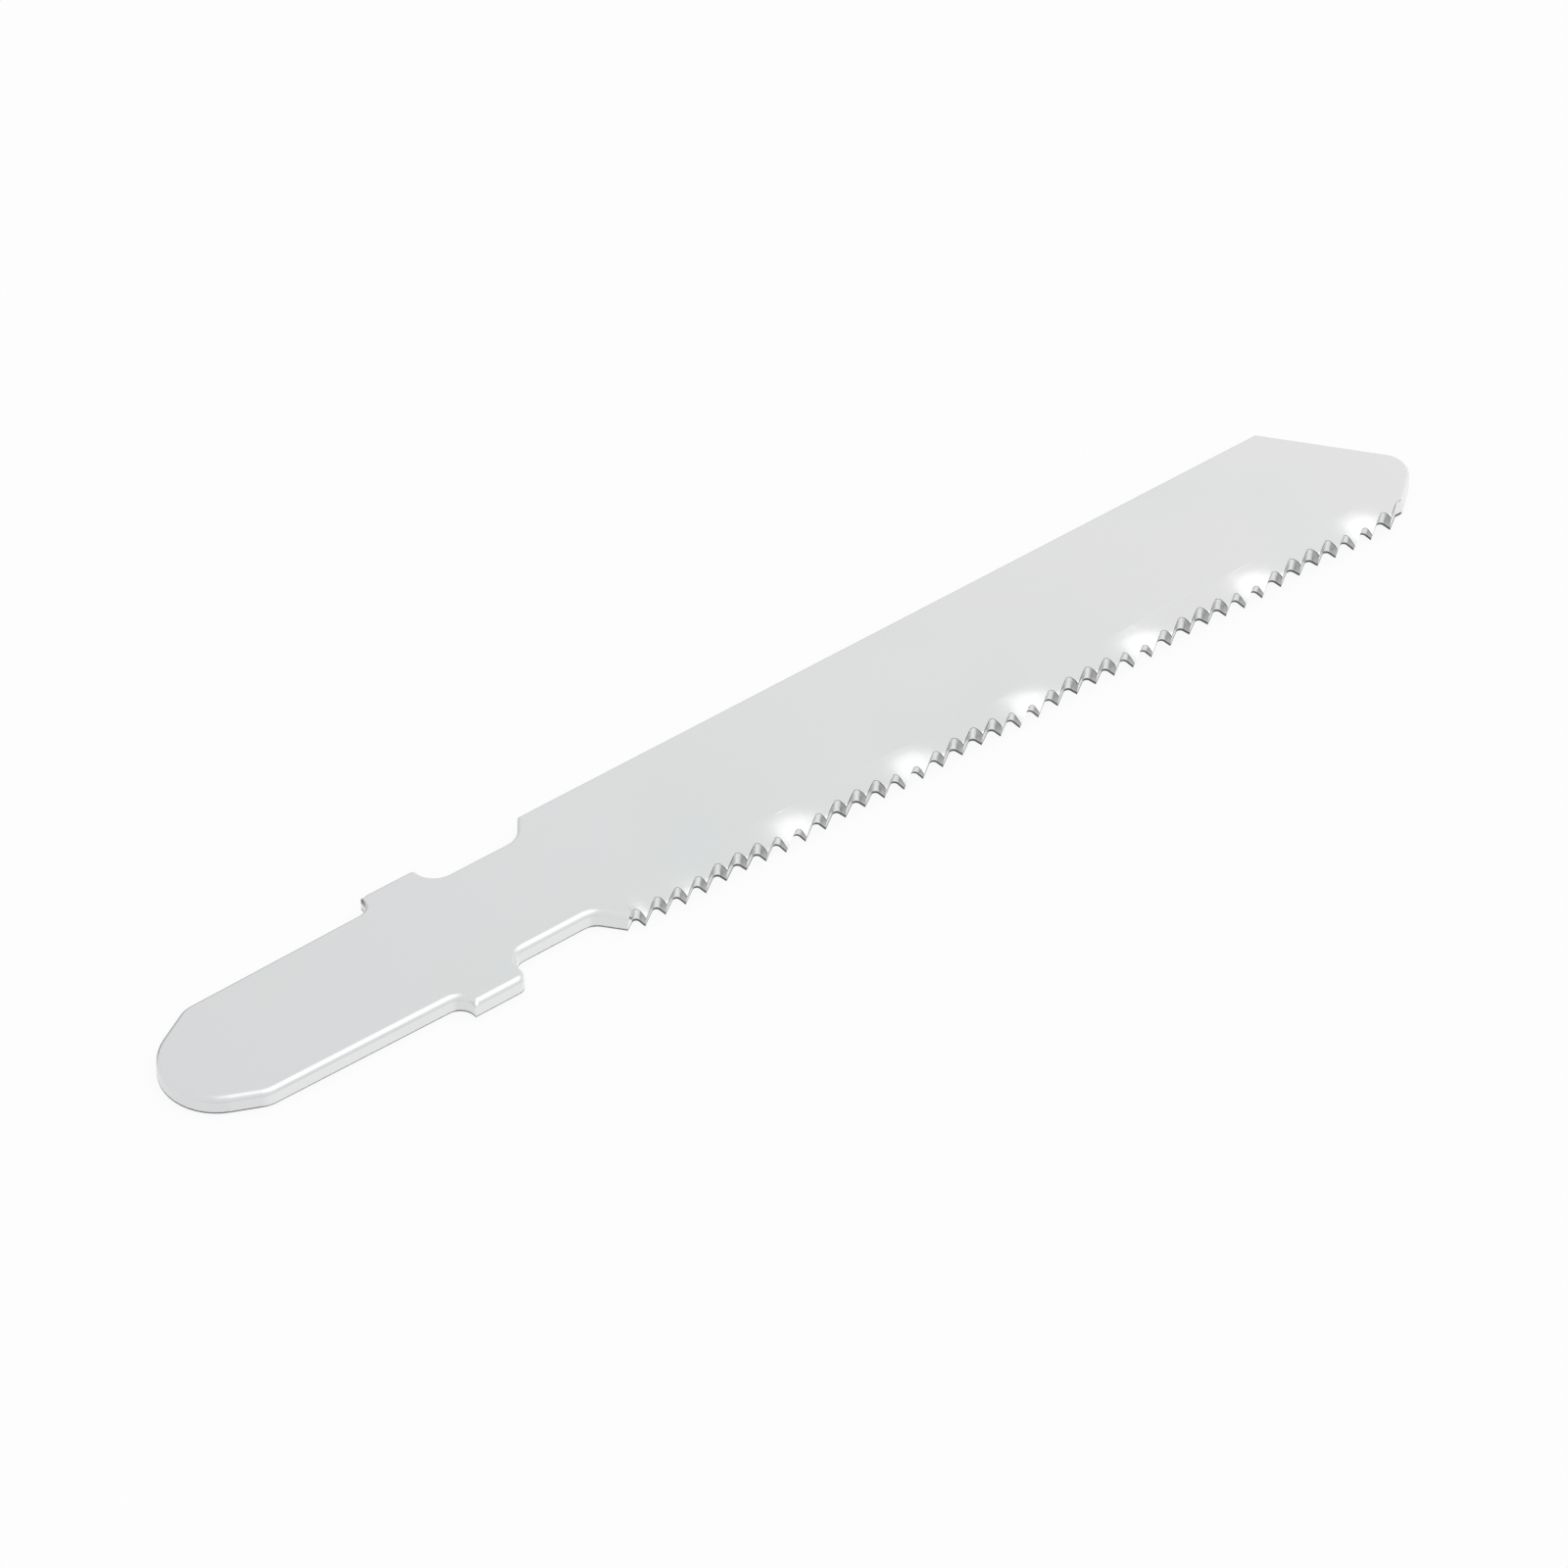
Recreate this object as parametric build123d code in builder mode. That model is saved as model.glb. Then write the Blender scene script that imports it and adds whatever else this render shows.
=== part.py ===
from build123d import *
from math import atan2, ceil, cos, floor, pi, radians, sin, tan
import os

# T-shank jigsaw blade for metal, stamped from one strip of steel, with milled teeth
# and a wavy set. Millimetres. X runs from the tang to the free end, Y from the teeth
# to the back and Z up through the plate. The origin is the centre of the clamp lug
# on the lower face.

# Plate
plate_thickness = 1.0
body_width = 9.08
free_length = 58.6  # lug centre to the nose
edge_round = 0.32  # die roll along the upper rim
edge_break = 0.05  # chamfer along the lower rim

# Tang, which the jigsaw's clamp takes in
tang_length = 15.74  # lug centre to the tang's end
tang_root_width = 7.3
tang_tip_width = 6.98
tang_wedge_angle = 27.0  # each side of the centre line
tang_end_radius = 2.9
tang_end_offset = 0.3  # end's middle lies this far in front of the centre line
tang_corner_radius = 1.5

# Clamp lug, the cross of the T
lug_length = 3.08
lug_width = 9.18
lug_tang_fillet = 0.85
lug_corner_radius = 0.52
lug_neck_fillet = 0.9
lug_back_fillet = 1.15

# Neck between the lug and the toothed body
neck_front_reach = 2.96  # centre line to the neck's front, below the teeth
neck_back_reach = 3.32  # centre line to the neck's back
front_shoulder_angle = 50.0
front_shoulder_radius = 1.0
back_shoulder_angle = 52.5
back_shoulder_radius = 1.3
back_shoulder_reach = 7.6  # lug centre to the start of the back
shoulder_lead = 0.67  # tooth line starts this far before the first tooth
wall_rest = 0.07  # straight wall kept beside a fillet that is short of room

# Free end
nose_height = 2.7  # nose corner above the tooth line
nose_radius = 1.4
point_angle = 51.3  # slant from the back down to the nose
heel_angle = 38.5  # slant from the nose back to the heel
heel_height = 0.58  # heel corner above the tooth line

# Teeth, milled with their rake faces to the tang
tooth_pitch = 1.2
first_tooth_reach = 8.4  # lug centre to the first tip
relief_angle = 34.0
rake_lean = 5.0  # rake face leans back from square
gullet_radius = 0.2
mill_lean = 6.0  # gullets lean forward this much from square to the strip
mill_overrun = 0.6  # cutter past the tooth line
mill_reach = 2.0  # cutter past the middle of the plate, both ways

# Wavy set, a strip bent up and down in turn along the tooth line
set_width = 1.9  # bend line above the tooth line
strip_lead = 0.55  # strip starts this far before the first tooth
set_teeth = 6  # teeth in one wave
first_bend_teeth = 7.5  # pitches from the first tip to the first full downward bend
upper_rise = 0.15  # upper face at the tips, from the flat teeth to the highest
upper_drop = 0.61  # and from the flat teeth to the lowest
lower_set = 0.14  # swing of the lower face at the tips, each way
upper_bevel = 0.2  # upper face thinned towards the tips
tip_stock = 0.09  # strip left past the tooth line for the mill
tip_round = 0.3  # rounding of the upper face at the tips
tip_round_share = 0.38  # share of the tip's thickness that the rounding takes
runout_teeth = 2  # bevel and set fade out over this many pitches at the heel
heel_margin = 0.12  # strip stops this short of the heel corner
stations_per_wave = 6
most_stations = 41  # a surface through more than this ripples, so a long strip spreads them
station_clearance = 0.3  # share of a station step kept clear at the strip's ends

# Sides of the blade
back_line = body_width / 2
tooth_line = -body_width / 2
bend_line = tooth_line + set_width
lug_half_length = lug_length / 2
lug_half_width = lug_width / 2
tang_root_half = tang_root_width / 2
tang_tip_half = tang_tip_width / 2

# Tang end: two slants that run to a point, rounded off to the tang's length
wedge_point = -tang_length + tang_end_radius - tang_end_radius / sin(radians(tang_wedge_angle))
wedge_start = wedge_point + tang_tip_half / tan(radians(tang_wedge_angle))

# Shoulders: each slants from the neck out to the body
front_step = body_width / 2 - neck_front_reach
back_step = body_width / 2 - neck_back_reach
front_shoulder_foot = first_tooth_reach - shoulder_lead
front_shoulder_top = front_shoulder_foot - front_step / tan(radians(front_shoulder_angle))
back_shoulder_foot = back_shoulder_reach - back_step / tan(radians(back_shoulder_angle))

# Free end: two slants that meet in the nose corner, rounded off to the free length
nose_half_angle = radians(point_angle + heel_angle) / 2
nose_skew = radians(point_angle - heel_angle) / 2
nose_corner = free_length - nose_radius + nose_radius * cos(nose_skew) / sin(nose_half_angle)
point_corner = nose_corner - (body_width - nose_height) / tan(radians(point_angle))
heel_corner = nose_corner - (nose_height - heel_height) / tan(radians(heel_angle))
heel_foot = nose_corner - nose_height / tan(radians(heel_angle))

# Tooth pattern: the last tip stays one pitch clear of the heel
tooth_count = 1 + floor((heel_corner - first_tooth_reach - tooth_pitch) / tooth_pitch)
last_tooth_reach = first_tooth_reach + (tooth_count - 1) * tooth_pitch

# Gullets: the relief of one tooth and the rake face of the next meet at the root
relief_slope = tan(radians(relief_angle))
rake_slope = tan(radians(rake_lean))
gullet_depth = tooth_pitch / (1 / relief_slope + rake_slope)

# The set strip runs from the first gullet to the heel
strip_start = first_tooth_reach - strip_lead
strip_end = heel_corner - heel_margin
wave_length = set_teeth * tooth_pitch
runout_length = runout_teeth * tooth_pitch
first_bend = first_tooth_reach + first_bend_teeth * tooth_pitch


def fitted(radius, room):
    """The radius asked for, or less where its wall has no room for it."""
    return min(radius, room - wall_rest)


def shoulder_room(step, angle):
    """Radius whose fillet takes up a whole shoulder of this height and angle."""
    return step / sin(radians(angle)) / tan(radians(angle) / 2)


def ease(share):
    """Smooth rise from 0 to 1 while share goes from 0 to 1."""
    share = min(max(share, 0), 1)
    return share * share * (3 - 2 * share)


def bevel_share(x):
    """The thinning grows within one pitch of the strip's start and fades at the heel."""
    return ease((x - strip_start) / tooth_pitch) * ease((strip_end - x) / runout_length)


def wave_height(x):
    """Set of the strip at x, from -1 fully down to +1 fully up."""
    rise = ease((x - first_tooth_reach - tooth_pitch) / (wave_length / 2))
    fall = ease((strip_end - x) / runout_length)
    return -cos(2 * pi * (x - first_bend) / wave_length) * rise * fall


def tip_heights(x):
    """Heights of the upper and the lower face at the tooth line."""
    wave = wave_height(x)
    swing = (upper_rise + upper_drop) / 2 * wave + (upper_rise - upper_drop) / 2 * wave**2
    return plate_thickness - upper_bevel * bevel_share(x) + swing, lower_set * wave


def mill_plane(x):
    """Plane across the bent strip, with its origin on the tooth line."""
    upper, lower = tip_heights(x)
    middle = (upper + lower) / 2
    tilt = radians(mill_lean) + atan2(plate_thickness / 2 - middle, set_width)
    return Plane(origin=(x, tooth_line, middle), x_dir=(1, 0, 0), z_dir=(0, -sin(tilt), cos(tilt)))


# Fillets of the lug and the shoulders, each fitted to the wall it stands on
tang_fillet = fitted(lug_tang_fillet, lug_half_width - tang_root_half)
neck_fillet = fitted(lug_neck_fillet, lug_half_width - neck_front_reach - lug_corner_radius)
back_fillet = fitted(lug_back_fillet, lug_half_width - neck_back_reach)
front_shoulder_fillet = fitted(front_shoulder_radius, shoulder_room(front_step, front_shoulder_angle))
back_shoulder_fillet = fitted(back_shoulder_radius, shoulder_room(back_step, back_shoulder_angle))

# Outline of the plate, anticlockwise from the tang's end: each corner and its radius
outline_corners = [
    ((wedge_point, -tang_end_offset), tang_end_radius),
    ((wedge_start, -tang_tip_half), tang_corner_radius),
    ((-lug_half_length, -tang_root_half), tang_fillet),
    ((-lug_half_length, -lug_half_width), 0),
    ((lug_half_length, -lug_half_width), lug_corner_radius),
    ((lug_half_length, -neck_front_reach), neck_fillet),
    ((front_shoulder_top, -neck_front_reach), front_shoulder_fillet),
    ((front_shoulder_foot, tooth_line), 0),
    ((heel_foot, tooth_line), 0),
    ((nose_corner, tooth_line + nose_height), nose_radius),
    ((point_corner, back_line), 0),
    ((back_shoulder_reach, back_line), 0),
    ((back_shoulder_foot, neck_back_reach), back_shoulder_fillet),
    ((lug_half_length, neck_back_reach), back_fillet),
    ((lug_half_length, lug_half_width), 0),
    ((-lug_half_length, lug_half_width), 0),
    ((-lug_half_length, tang_root_half), tang_fillet),
    ((wedge_start, tang_tip_half), tang_corner_radius),
]

with BuildSketch() as outline:
    with BuildLine():
        FilletPolyline(
            [corner for corner, radius in outline_corners],
            radius=[radius for corner, radius in outline_corners],
            close=True,
        )
    make_face()

# The strip is drawn a little past the tooth line, and milling takes that off. Its upper
# face bends as a parabola down to where the rounding of the tips starts.
strip_front = tooth_line - tip_stock
strip_width = bend_line - strip_front
round_start = strip_front + tip_round
upper_width = bend_line - round_start

# Stations along the strip: its flat ends, and even steps between them from the first bend
station_step = max(wave_length / stations_per_wave, (strip_end - strip_start) / most_stations)
first_station = ceil((strip_start - first_bend) / station_step + station_clearance)
last_station = floor((strip_end - first_bend) / station_step - station_clearance)
wave_stations = [first_bend + n * station_step for n in range(first_station, last_station + 1)]

# Gullet in its mill plane: relief of the tooth behind, root, rake face of the tooth ahead
half_pitch = tooth_pitch / 2
root = (half_pitch - gullet_depth * rake_slope, gullet_depth)
relief_mouth = (-half_pitch - mill_overrun / relief_slope, -mill_overrun)
rake_mouth = (half_pitch + mill_overrun * rake_slope, -mill_overrun)

with BuildPart() as blade:
    # Stamped plate, rounded along its upper rim and eased along its lower rim
    extrude(outline.sketch, amount=plate_thickness)
    rim = blade.edges().filter_by(lambda edge: edge.center().Y > tooth_line + edge_break)
    fillet(rim.group_by(Axis.Z)[-1], edge_round)
    rim = blade.edges().filter_by(lambda edge: edge.center().Y > tooth_line + edge_break)
    chamfer(rim.group_by(Axis.Z)[0], edge_break)

    # Room for the set strip
    with BuildSketch():
        with Locations(((strip_start + strip_end) / 2, bend_line)):
            Rectangle(strip_end - strip_start, set_width + mill_overrun, align=(Align.CENTER, Align.MAX))
    extrude(amount=plate_thickness, mode=Mode.SUBTRACT)

    # Set strip: each section is flat at the bend line and curves to its own tip heights
    for x in [strip_start, *wave_stations, strip_end]:
        upper, lower = tip_heights(x)
        fall = (plate_thickness - upper) * (upper_width / set_width) ** 2
        crest = plate_thickness - fall - 2 * fall * tip_round / upper_width
        shoulder = crest - tip_round_share * (upper - lower)
        sole = lower * (strip_width / set_width) ** 2
        with BuildSketch(Plane.YZ.offset(x)):
            with BuildLine():
                Line((bend_line, 0), (bend_line, plate_thickness))
                Bezier(
                    (bend_line, plate_thickness),
                    (bend_line - upper_width / 2, plate_thickness),
                    (round_start, plate_thickness - fall),
                )
                Bezier((round_start, plate_thickness - fall), (strip_front, crest), (strip_front, shoulder))
                Line((strip_front, shoulder), (strip_front, sole))
                Bezier((strip_front, sole), (bend_line - strip_width / 2, 0), (bend_line, 0))
            make_face()
    loft()

    # Gullets, one ahead of each tooth
    for tooth in range(tooth_count):
        middle = first_tooth_reach + (tooth - 0.5) * tooth_pitch
        with BuildSketch(mill_plane(middle)):
            with BuildLine():
                FilletPolyline(
                    relief_mouth,
                    root,
                    rake_mouth,
                    radius=[0, gullet_radius, 0],
                    close=True,
                )
            make_face()
        extrude(amount=mill_reach, both=True, mode=Mode.SUBTRACT)

    # Relief of the last tooth, which runs out on the heel
    with BuildSketch(Plane(origin=(last_tooth_reach, tooth_line, 0))):
        with BuildLine():
            Polyline(
                (-mill_overrun / relief_slope, -mill_overrun),
                (heel_height / relief_slope, heel_height),
                (free_length - last_tooth_reach, heel_height),
                (free_length - last_tooth_reach, -mill_overrun),
                close=True,
            )
        make_face()
    extrude(amount=mill_reach, both=True, mode=Mode.SUBTRACT)

blade.part.label = "blade"

os.makedirs("parts", exist_ok=True)
export_step(blade.part, "parts/blade.step")
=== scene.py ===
from math import radians

import bmesh
import bpy
from mathutils.kdtree import KDTree
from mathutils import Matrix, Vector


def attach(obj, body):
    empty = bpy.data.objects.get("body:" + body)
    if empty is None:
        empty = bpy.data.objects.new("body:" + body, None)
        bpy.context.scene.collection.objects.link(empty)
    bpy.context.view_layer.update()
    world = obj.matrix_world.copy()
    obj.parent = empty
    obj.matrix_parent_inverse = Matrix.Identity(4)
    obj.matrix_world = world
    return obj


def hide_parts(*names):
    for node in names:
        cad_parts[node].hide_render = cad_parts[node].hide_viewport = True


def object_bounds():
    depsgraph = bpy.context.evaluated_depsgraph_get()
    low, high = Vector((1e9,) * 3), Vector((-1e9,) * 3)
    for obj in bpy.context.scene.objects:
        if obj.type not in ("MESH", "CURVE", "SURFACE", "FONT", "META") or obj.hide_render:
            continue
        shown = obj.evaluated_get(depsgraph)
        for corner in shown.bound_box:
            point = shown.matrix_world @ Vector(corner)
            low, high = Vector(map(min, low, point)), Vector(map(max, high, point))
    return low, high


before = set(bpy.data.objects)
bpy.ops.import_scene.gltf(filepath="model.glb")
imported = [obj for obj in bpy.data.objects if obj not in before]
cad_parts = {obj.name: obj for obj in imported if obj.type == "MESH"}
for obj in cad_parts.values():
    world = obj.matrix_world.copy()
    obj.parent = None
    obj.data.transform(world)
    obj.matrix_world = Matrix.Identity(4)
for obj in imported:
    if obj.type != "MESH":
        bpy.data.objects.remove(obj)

# A T-shank jigsaw blade of bright steel, lying flat on a pale floor. Metres. X runs from
# the tang to the free end, Y from the teeth to the back and Z up through the plate.
cad_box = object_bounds()

MM = 0.001

# Blade
WELD = 0.001 * MM  # loose corners nearer than this are one corner
TANG_END = cad_box[0][0]
NOSE = cad_box[1][0]
TEETH_START = 7.9 * MM
TEETH_END = 57.0 * MM
STRIP_TOP = -2.6 * MM  # the set strip and its teeth lie in front of this line
FLAT_RISE = 0.9  # least upright part of a normal on the flat sides
WALL_RISE = 0.5  # most upright part of a normal on a milled wall
RAKE_TURN = -0.8  # most X of a normal on a rake face, which looks to the tang
RELIEF_TURN = 0.2  # least X of a normal on a relief, which looks to the free end

# Marks on the stamped rim, by height above the lower face: painted shade lines, a bright wall that is
# partly painted reflection, and a torn foot darkened partly as painted shade
LINE_CORE = 0.4  # part of a line's reach that is at full strength
ROLL_FOOT = 0.74 * MM  # faint painted shade line below the rounding, along the teeth's side
ROLL_FOOT_REACH = 0.05 * MM
ROLL_EDGE = 0.93 * MM  # painted shade line on the rounding, along the back
ROLL_EDGE_REACH = 0.075 * MM
NOOK_LINE = 0.66 * MM  # painted shade line in the back corners of the lug and the neck
NOOK_LINE_REACH = 0.22 * MM
NOOK_START = 3 * MM  # those corners start this far on the tang's side of the lug's centre
NOOK_DEPTH = 2.6 * MM  # and lie behind this line
NOOK_FADE = 0.3 * MM
WALL_SHINE = 0.45  # share of the bright colour on the sheared wall: its own shine with painted reflection of the floor
WALL_LESS = 0.4  # what that share loses where the wall looks to the tang, as painted shade
WALL_FADE = 0.1 * MM  # the bright wall starts to fade this far below the faint line
TORN_TOP = 0.11 * MM  # torn band along the lower rim, darkened further as painted shade along the contour
TORN_SHADE_MORE = 0.04 * MM  # what it gains round the tang's end, as painted shade
TORN_FADE = 0.04 * MM
TORN_WANDER = 0.06 * MM  # how far the drag lines shift its upper edge

# Marks on the milled faces: painted shade lines, and a burr darkened further as painted shade
MARK_CORE = 0.7  # part of a mark's width that is at full strength
BURR_AND_SHADE = 0.17 * MM  # dark burr along the lower edge, darkened further as painted shade along the contour
RAKE_SHADE = 0.06 * MM  # painted shade line along the upper edge
GULLET_SHADE = 0.04 * MM
RELIEF_SHADE = 0.22 * MM

# Camera
LENS = 157.2
SENSOR = 36.0
CLIP_START = 10 * MM
CAMERA_PLACE = (-129.9 * MM, -192.3 * MM, 222.7 * MM)
CAMERA_TURN = (radians(47.5), 0.0, radians(-37.97))

# Studio
FLOOR_SIZE = 3.0
FLOOR_GLOW = 0.9  # share of the floor that shows as plain white; the rest takes the light
ROOM_LIGHT = 0.97
WINDOW_LIGHT = 1.45
WINDOW_SIDE = (0.3, -0.5, 0.81)  # towards the window, high over the teeth
WINDOW_EDGE = 0.72  # cosine of the angle off the window's middle where its light starts
WINDOW_CORE = 0.92  # and where it is full


def linear(hex_colour):
    """An sRGB hex colour as the linear RGBA that shaders take."""
    channels = [int(hex_colour[i:i + 2], 16) / 255 for i in (1, 3, 5)]
    return [c / 12.92 if c <= 0.04045 else ((c + 0.055) / 1.055) ** 2.4 for c in channels] + [1.0]


def add(tree, kind, inputs=None, **settings):
    """Adds a node to the tree. An input is a value, or a socket to link it from."""
    node = tree.nodes.new(kind)
    for name, value in settings.items():
        setattr(node, name, value)
    for name, value in (inputs or {}).items():
        if isinstance(value, bpy.types.NodeSocket):
            tree.links.new(value, node.inputs[name])
        else:
            node.inputs[name].default_value = value
    return node


def empty_material(name):
    """A new material with nothing in its node tree."""
    material = bpy.data.materials.new(name)
    material.use_nodes = True
    material.node_tree.nodes.clear()
    return material


def lines_along(tree, place, size):
    """Noise drawn out along an axis: size gives the length of its grains in X, Y and Z."""
    grains = add(
        tree, "ShaderNodeMapping",
        {"Vector": place, "Scale": [1 / length for length in size]},
    )
    lines = add(
        tree, "ShaderNodeTexNoise",
        {"Vector": grains.outputs["Vector"], "Scale": 1.0, "Detail": 3.0, "Roughness": 0.55},
    )
    return lines.outputs["Fac"]


def band(tree, height, middle, reach):
    """Share that is 1 at the height of a line's middle and fades to 0 over its reach."""
    off_middle = add(tree, "ShaderNodeMath", {0: height, 1: middle}, operation="SUBTRACT")
    off_middle = add(tree, "ShaderNodeMath", {0: off_middle.outputs["Value"]}, operation="ABSOLUTE")
    share = add(
        tree, "ShaderNodeMapRange",
        {"Value": off_middle.outputs["Value"], "From Min": LINE_CORE * reach, "From Max": reach,
         "To Min": 1.0, "To Max": 0.0},
    )
    return share.outputs["Result"]


def painted_light_and_cloud_tone(tree, place):
    """Tone of the steel: lighter from the tang to the nose as painted light, in soft clouds of its
    own tone.
    """
    axes = add(tree, "ShaderNodeSeparateXYZ", {"Vector": place})
    # Lighter towards the nose as painted light; the steel itself is the same along its length
    way = add(
        tree, "ShaderNodeMapRange",
        {"Value": axes.outputs["X"], "From Min": TANG_END, "From Max": NOSE},
    )
    painted_light_drift = add(
        tree, "ShaderNodeMix",
        {"Factor": way.outputs["Result"], "A": linear("#D9DADB"), "B": linear("#E5E5E5")},
        data_type="RGBA",
    )
    cloud_size = 9 * MM
    clouds = add(
        tree, "ShaderNodeTexNoise",
        {"Vector": place, "Scale": 1 / cloud_size, "Detail": 2.0, "Roughness": 0.4},
    )
    share = add(
        tree, "ShaderNodeMapRange",
        {"Value": clouds.outputs["Fac"], "From Min": 0.45, "From Max": 0.75, "To Max": 0.35},
    )
    tone = add(
        tree, "ShaderNodeMix",
        {"Factor": share.outputs["Result"], "A": painted_light_drift.outputs["Result"], "B": linear("#D8DEDD")},
        data_type="RGBA",
    )
    return tone.outputs["Result"]


def ground_tool_steel():
    """Hardened strip steel, rolled, then ground bright along its length.

    It gives a soft, even grey gloss that hardly changes over the face, with grinding
    lines too fine to see one by one.
    """
    material = empty_material("ground_tool_steel")
    tree = material.node_tree
    place = add(tree, "ShaderNodeTexCoord").outputs["Object"]
    line_width = 0.12 * MM  # really about 0.02 mm, coarser here so that a few lines show
    line_length = 9 * MM
    lines = lines_along(tree, place, (line_length, line_width, line_width))
    gloss = add(
        tree, "ShaderNodeMapRange",
        {"Value": lines, "From Min": 0.3, "From Max": 0.7, "To Min": 0.28, "To Max": 0.34},
    )
    relief = add(
        tree, "ShaderNodeBump",
        {"Height": lines, "Strength": 0.1, "Distance": 0.002 * MM},
    )
    steel = add(
        tree, "ShaderNodeBsdfPrincipled",
        {
            "Base Color": painted_light_and_cloud_tone(tree, place),
            "Metallic": 1.0,
            "Roughness": gloss.outputs["Result"],
            "Normal": relief.outputs["Normal"],
        },
    )
    add(tree, "ShaderNodeOutputMaterial", {"Surface": steel.outputs["BSDF"]})
    return material


def painted_shade_lines(tree, axes, ways, on_tang):
    """Share of the painted shade lines beside the rounding on the rim, each at its own height."""
    on_front = add(
        tree, "ShaderNodeMapRange",
        {"Value": ways["Y"], "From Min": -0.8, "From Max": -0.5, "To Min": 0.12, "To Max": 0.0},
    )
    # The painted shade line along the back is dark on the tang and hardly shows on the toothed body.
    on_back = add(tree, "ShaderNodeMapRange", {"Value": ways["Y"], "From Min": 0.3, "From Max": 0.5})
    on_shank = add(
        tree, "ShaderNodeMapRange",
        {"Value": axes["X"], "From Min": TANG_END, "From Max": TEETH_START,
         "To Min": 0.9, "To Max": 0.25},
    )
    back_share = add(
        tree, "ShaderNodeMath",
        {0: on_back.outputs["Result"], 1: on_shank.outputs["Result"]},
        operation="MULTIPLY",
    )
    # The painted shade in the back corners takes in all that lies behind the line, but not the tang's
    # own end.
    before_start = add(tree, "ShaderNodeMath", {0: axes["X"], 1: NOOK_START}, operation="ADD")
    before_start = add(
        tree, "ShaderNodeMath",
        {0: before_start.outputs["Value"], 1: 0.0},
        operation="MINIMUM",
    )
    depth = add(
        tree, "ShaderNodeMath",
        {0: axes["Y"], 1: before_start.outputs["Value"]},
        operation="ADD",
    )
    in_nook = add(
        tree, "ShaderNodeMapRange",
        {"Value": depth.outputs["Value"], "From Min": NOOK_DEPTH, "From Max": NOOK_DEPTH + NOOK_FADE},
    )
    nook_share = add(
        tree, "ShaderNodeMath",
        {0: on_tang, 1: in_nook.outputs["Result"]},
        operation="MULTIPLY",
    )
    line = 0.0
    for middle, reach, share in (
        (ROLL_FOOT, ROLL_FOOT_REACH, on_front.outputs["Result"]),
        (ROLL_EDGE, ROLL_EDGE_REACH, back_share.outputs["Value"]),
        (NOOK_LINE, NOOK_LINE_REACH, nook_share.outputs["Value"]),
    ):
        line = add(
            tree, "ShaderNodeMath",
            {0: band(tree, axes["Z"], middle, reach), 1: share, 2: line},
            operation="MULTIPLY_ADD",
        ).outputs["Value"]
    return line


def torn_and_shaded_foot(tree, axes, on_tang, drags):
    """Share of the torn band along the lower rim, darkened further as painted shade along the
    contour, with an edge as ragged as the drag lines.
    """
    height = add(
        tree, "ShaderNodeMath",
        {0: drags, 1: TORN_WANDER, 2: axes["Z"]},
        operation="MULTIPLY_ADD",
    )
    height = add(
        tree, "ShaderNodeMath",
        {0: on_tang, 1: -TORN_SHADE_MORE, 2: height.outputs["Value"]},
        operation="MULTIPLY_ADD",
    )
    share = add(
        tree, "ShaderNodeMapRange",
        {"Value": height.outputs["Value"], "From Min": TORN_TOP, "From Max": TORN_TOP + TORN_FADE,
         "To Min": 1.0, "To Max": 0.0},
    )
    return share.outputs["Result"]


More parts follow.
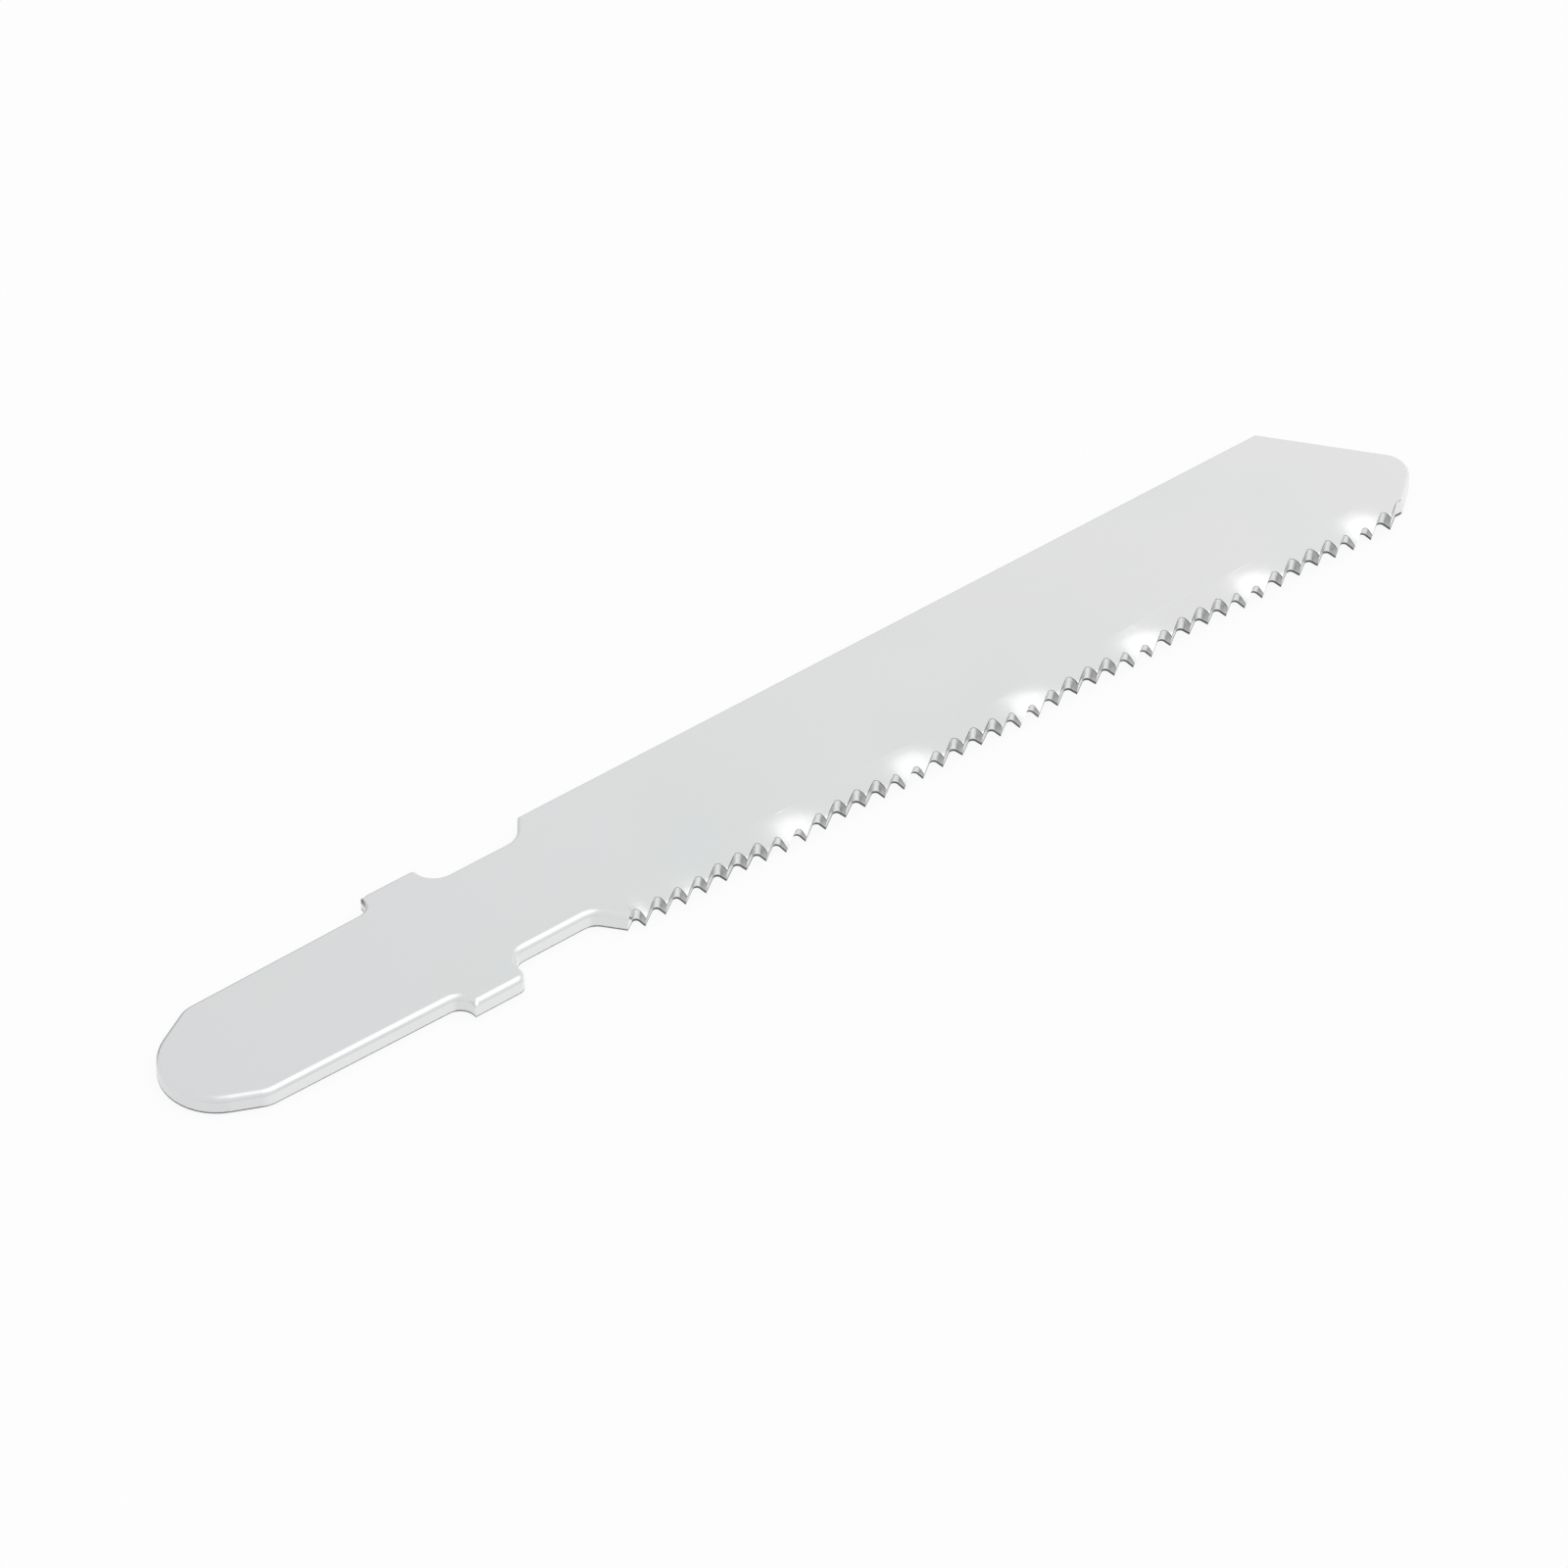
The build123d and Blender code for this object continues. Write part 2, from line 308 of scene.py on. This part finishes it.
def sheared_tool_steel():
    """The rim that the stamping die has left: rolled over on top, sheared, torn at the foot.

    The roll shines white where it turns to the light, with painted shade lines beside it. The
    sheared wall is bright with faint upright drag lines, most of all at the free end; that
    brightness is partly painted reflection of the floor and, at the free end, painted highlight.
    The torn foot is dull and dark, its darkness partly painted shade.
    """
    material = empty_material("sheared_tool_steel")
    tree = material.node_tree
    place = add(tree, "ShaderNodeTexCoord").outputs["Object"]
    axes = add(tree, "ShaderNodeSeparateXYZ", {"Vector": place}).outputs
    facing = add(tree, "ShaderNodeNewGeometry").outputs["Normal"]
    ways = add(tree, "ShaderNodeSeparateXYZ", {"Vector": facing}).outputs
    drag_width = 0.1 * MM  # really about 0.03 mm, coarser here so that the lines show
    drag_length = 2 * MM
    drags = lines_along(tree, place, (drag_width, drag_width, drag_length))
    # 1 where the rim looks to the tang
    on_tang = add(
        tree, "ShaderNodeMapRange",
        {"Value": ways["X"], "From Min": -0.5, "From Max": -0.2, "To Min": 1.0, "To Max": 0.0},
    ).outputs["Result"]
    # The sheared wall's own shine, lightened further as painted reflection of the bright floor, and
    # less of it where the wall looks to the tang, as painted shade
    wall_share = add(
        tree, "ShaderNodeMath",
        {0: on_tang, 1: -WALL_LESS, 2: WALL_SHINE},
        operation="MULTIPLY_ADD",
    )
    bright = add(
        tree, "ShaderNodeMapRange",
        {"Value": axes["Z"], "From Min": ROLL_FOOT - WALL_FADE, "From Max": ROLL_EDGE,
         "To Min": wall_share.outputs["Value"], "To Max": 0.0},
    )
    # Painted highlight where the rim looks to the free end
    free_end_highlight = add(
        tree, "ShaderNodeMapRange",
        {"Value": ways["X"], "From Min": 0.3, "From Max": 0.7, "To Max": 0.8},
    )
    torn_and_shade = torn_and_shaded_foot(tree, axes, on_tang, drags)
    tone = painted_light_and_cloud_tone(tree, place)
    # Painted reflection, painted highlight, painted shade lines and the torn foot with painted shade,
    # laid over the steel's tone
    for share, colour in (
        (bright.outputs["Result"], "#F6F7F7"),
        (free_end_highlight.outputs["Result"], "#FAFAFA"),
        (painted_shade_lines(tree, axes, ways, on_tang), "#6E7073"),
        (torn_and_shade, "#808285"),
    ):
        tone = add(
            tree, "ShaderNodeMix",
            {"Factor": share, "A": tone, "B": linear(colour)},
            data_type="RGBA",
        ).outputs["Result"]
    gloss = add(tree, "ShaderNodeMapRange", {"Value": torn_and_shade, "To Min": 0.24, "To Max": 0.5})
    relief = add(
        tree, "ShaderNodeBump",
        {"Height": drags, "Strength": 0.15, "Distance": 0.002 * MM},
    )
    steel = add(
        tree, "ShaderNodeBsdfPrincipled",
        {
            "Base Color": tone,
            "Metallic": 1.0,
            "Roughness": gloss.outputs["Result"],
            "Normal": relief.outputs["Normal"],
        },
    )
    add(tree, "ShaderNodeOutputMaterial", {"Surface": steel.outputs["BSDF"]})
    return material


def milled_tool_steel(name, dull, bright, edge_shade):
    """The same steel where the mill has cut the gullets between the teeth.

    It is duller than the ground faces, with fine lines the way the cutter went, from one
    side of the blade to the other. The upper edge is painted dark as shade down to edge_shade
    below it, and a dark burr runs along the lower edge, where the cutter came out, darkened
    further as painted shade along the contour.
    """
    material = empty_material(name)
    tree = material.node_tree
    place = add(tree, "ShaderNodeTexCoord").outputs["Object"]
    line_width = 0.09 * MM  # really about 0.03 mm, coarser here so that the lines show
    line_length = 3 * MM
    lines = lines_along(tree, place, (line_width, line_width, line_length))
    spread = add(tree, "ShaderNodeMapRange", {"Value": lines, "From Min": 0.3, "From Max": 0.7})
    tone = add(
        tree, "ShaderNodeMix",
        {"Factor": spread.outputs["Result"], "A": linear(dull), "B": linear(bright)},
        data_type="RGBA",
    ).outputs["Result"]
    # Painted shade along the upper edge, and the burr along the lower edge darkened further as
    # painted shade
    for distance, reach, colour in (
        ("cut_depth", edge_shade, "#5F6163"),
        ("cut_height", BURR_AND_SHADE, "#3E3F41"),
    ):
        from_edge = add(tree, "ShaderNodeAttribute", attribute_name=distance).outputs["Fac"]
        share = add(
            tree, "ShaderNodeMapRange",
            {"Value": from_edge, "From Min": MARK_CORE * reach, "From Max": reach,
             "To Min": 0.9, "To Max": 0.0},
        )
        tone = add(
            tree, "ShaderNodeMix",
            {"Factor": share.outputs["Result"], "A": tone, "B": linear(colour)},
            data_type="RGBA",
        ).outputs["Result"]
    relief = add(
        tree, "ShaderNodeBump",
        {"Height": lines, "Strength": 0.3, "Distance": 0.003 * MM},
    )
    steel = add(
        tree, "ShaderNodeBsdfPrincipled",
        {"Base Color": tone, "Metallic": 1.0, "Roughness": 0.5, "Normal": relief.outputs["Normal"]},
    )
    add(tree, "ShaderNodeOutputMaterial", {"Surface": steel.outputs["BSDF"]})
    return material


# Finishes, in the order of the blade's materials
GROUND, SHEARED, RAKE, GULLET, RELIEF = range(5)


def drawn_surfaces(shell):
    """The blade's surfaces as lists of triangles; no surface shares a corner with the next."""
    surfaces = []
    met = set()
    for face in shell.faces:
        if face not in met:
            met.add(face)
            surface = [face]
            for member in surface:
                for edge in member.edges:
                    for neighbour in edge.link_faces:
                        if neighbour not in met:
                            met.add(neighbour)
                            surface.append(neighbour)
            surfaces.append(surface)
    return surfaces


def finish_of(surface):
    """How a surface was made, from its place and the way it faces."""
    corners = [vert.co for face in surface for vert in face.verts]
    middle = (max(place.x for place in corners) + min(place.x for place in corners)) / 2
    back = max(place.y for place in corners)
    rises = [abs(face.normal.z) for face in surface]
    if back > STRIP_TOP or not TEETH_START < middle < TEETH_END:
        return GROUND if min(rises) > FLAT_RISE else SHEARED
    if max(rises) > WALL_RISE:
        return GROUND
    if max(face.normal.x for face in surface) < RAKE_TURN:
        return RAKE
    return RELIEF if min(face.normal.x for face in surface) > RELIEF_TURN else GULLET


def measure_from_edge(shell, surfaces, name, side):
    """Gives the milled corners their distance from the strip's edge: side 1 above, -1 below."""
    distance = shell.loops.layers.float.new(name)
    edge = [
        vert.co
        for finish, surface in surfaces if finish == GROUND
        for face in surface if face.normal.z * side > WALL_RISE
        for vert in face.verts if vert.co.y < STRIP_TOP
    ]
    nearest = KDTree(len(edge))
    for number, place in enumerate(edge):
        nearest.insert(place, number)
    nearest.balance()
    for finish, surface in surfaces:
        if finish in (RAKE, GULLET, RELIEF):
            for face in surface:
                for corner in face.loops:
                    corner[distance] = nearest.find(corner.vert.co)[2]


def finished_blade():
    """The blade's own surface with its loose triangles joined, in its finishes."""
    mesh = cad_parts["blade"].data.copy()
    mesh.name = "steel_blade"
    mesh.materials.clear()
    for material in (
        ground_tool_steel(),
        sheared_tool_steel(),
        # Lit and shaded copies of one milled steel: the rakes' darker tone is painted shade, the
        # gullets' and reliefs' lighter tone is painted light
        milled_tool_steel("milled_rake_steel", "#B8B9BB", "#CDCECF", RAKE_SHADE),
        milled_tool_steel("milled_gullet_steel", "#E8E9E9", "#F2F2F2", GULLET_SHADE),
        milled_tool_steel("milled_relief_steel", "#E2E3E3", "#EEEFEF", RELIEF_SHADE),
    ):
        mesh.materials.append(material)
    # The CAD normals keep the edges crisp and the roundings smooth once the triangles are joined.
    drawn_normals = mesh.attributes.new("drawn_normal", "FLOAT_VECTOR", "CORNER")
    for corner, normal in zip(drawn_normals.data, mesh.corner_normals):
        corner.vector = normal.vector
    shell = bmesh.new()
    shell.from_mesh(mesh)
    surfaces = [(finish_of(surface), surface) for surface in drawn_surfaces(shell)]
    for finish, surface in surfaces:
        for face in surface:
            face.material_index = finish
            face.smooth = True
    measure_from_edge(shell, surfaces, "cut_height", -1)
    measure_from_edge(shell, surfaces, "cut_depth", 1)
    bmesh.ops.remove_doubles(shell, verts=shell.verts, dist=WELD)
    shell.to_mesh(mesh)
    shell.free()
    mesh.normals_split_custom_set([corner.vector for corner in mesh.attributes["drawn_normal"].data])
    mesh.attributes.remove(mesh.attributes["drawn_normal"])
    blade = bpy.data.objects.new("steel_blade", mesh)
    bpy.context.scene.collection.objects.link(blade)
    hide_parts("blade")
    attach(blade, "root")


def pale_floor():
    """A white sheet under the blade. It shows nearly white and keeps a faint shadow."""
    material = empty_material("white_paper")
    tree = material.node_tree
    paper = add(tree, "ShaderNodeBsdfDiffuse", {"Color": linear("#EDEDED")})
    white = add(tree, "ShaderNodeEmission", {"Color": linear("#FEFEFE"), "Strength": 1.0})
    rays = add(tree, "ShaderNodeLightPath").outputs
    mirrored = add(
        tree, "ShaderNodeMath",
        {0: rays["Is Camera Ray"], 1: rays["Is Glossy Ray"]},
        operation="MAXIMUM",
    )
    glow = add(
        tree, "ShaderNodeMath",
        {0: mirrored.outputs["Value"], 1: FLOOR_GLOW},
        operation="MULTIPLY",
    )
    seen = add(
        tree, "ShaderNodeMixShader",
        {"Fac": glow.outputs["Value"], 1: paper.outputs["BSDF"], 2: white.outputs["Emission"]},
    )
    add(tree, "ShaderNodeOutputMaterial", {"Surface": seen.outputs["Shader"]})
    shell = bmesh.new()
    bmesh.ops.create_grid(shell, x_segments=1, y_segments=1, size=FLOOR_SIZE / 2)
    bmesh.ops.translate(shell, vec=(0, 0, cad_box[0][2]), verts=shell.verts)
    mesh = bpy.data.meshes.new("floor")
    shell.to_mesh(mesh)
    shell.free()
    mesh.materials.append(material)
    floor = bpy.data.objects.new("floor", mesh)
    bpy.context.scene.collection.objects.link(floor)


def studio_light():
    """An even white room with a soft bright window high over the teeth."""
    world = bpy.data.worlds.new("studio")
    bpy.context.scene.world = world
    world.use_nodes = True
    tree = world.node_tree
    tree.nodes.clear()
    way = add(tree, "ShaderNodeTexCoord").outputs["Generated"]
    nearness = add(tree, "ShaderNodeVectorMath", {0: way, 1: WINDOW_SIDE}, operation="DOT_PRODUCT")
    strength = add(
        tree, "ShaderNodeMapRange",
        {"Value": nearness.outputs["Value"], "From Min": WINDOW_EDGE, "From Max": WINDOW_CORE,
         "To Min": ROOM_LIGHT, "To Max": WINDOW_LIGHT},
        interpolation_type="SMOOTHSTEP",
    )
    white = linear("#FFFFFF")
    room = add(
        tree, "ShaderNodeBackground",
        {"Color": white, "Strength": strength.outputs["Result"]},
    )
    backdrop = add(tree, "ShaderNodeBackground", {"Color": white, "Strength": 1.0})
    rays = add(tree, "ShaderNodeLightPath").outputs
    seen = add(
        tree, "ShaderNodeMixShader",
        {
            "Fac": rays["Is Camera Ray"],
            1: room.outputs["Background"],
            2: backdrop.outputs["Background"],
        },
    )
    add(tree, "ShaderNodeOutputWorld", {"Surface": seen.outputs["Shader"]})


def camera():
    """The photograph's camera, fitted to the tooth tips and to the shank's corners."""
    lens = bpy.data.cameras.new("camera")
    lens.lens = LENS
    lens.sensor_width = SENSOR
    lens.clip_start = CLIP_START
    viewer = bpy.data.objects.new("camera", lens)
    viewer.location = CAMERA_PLACE
    viewer.rotation_euler = CAMERA_TURN
    bpy.context.scene.collection.objects.link(viewer)
    bpy.context.scene.camera = viewer


finished_blade()
pale_floor()
studio_light()
camera()
bpy.context.scene.view_settings.view_transform = "Standard"
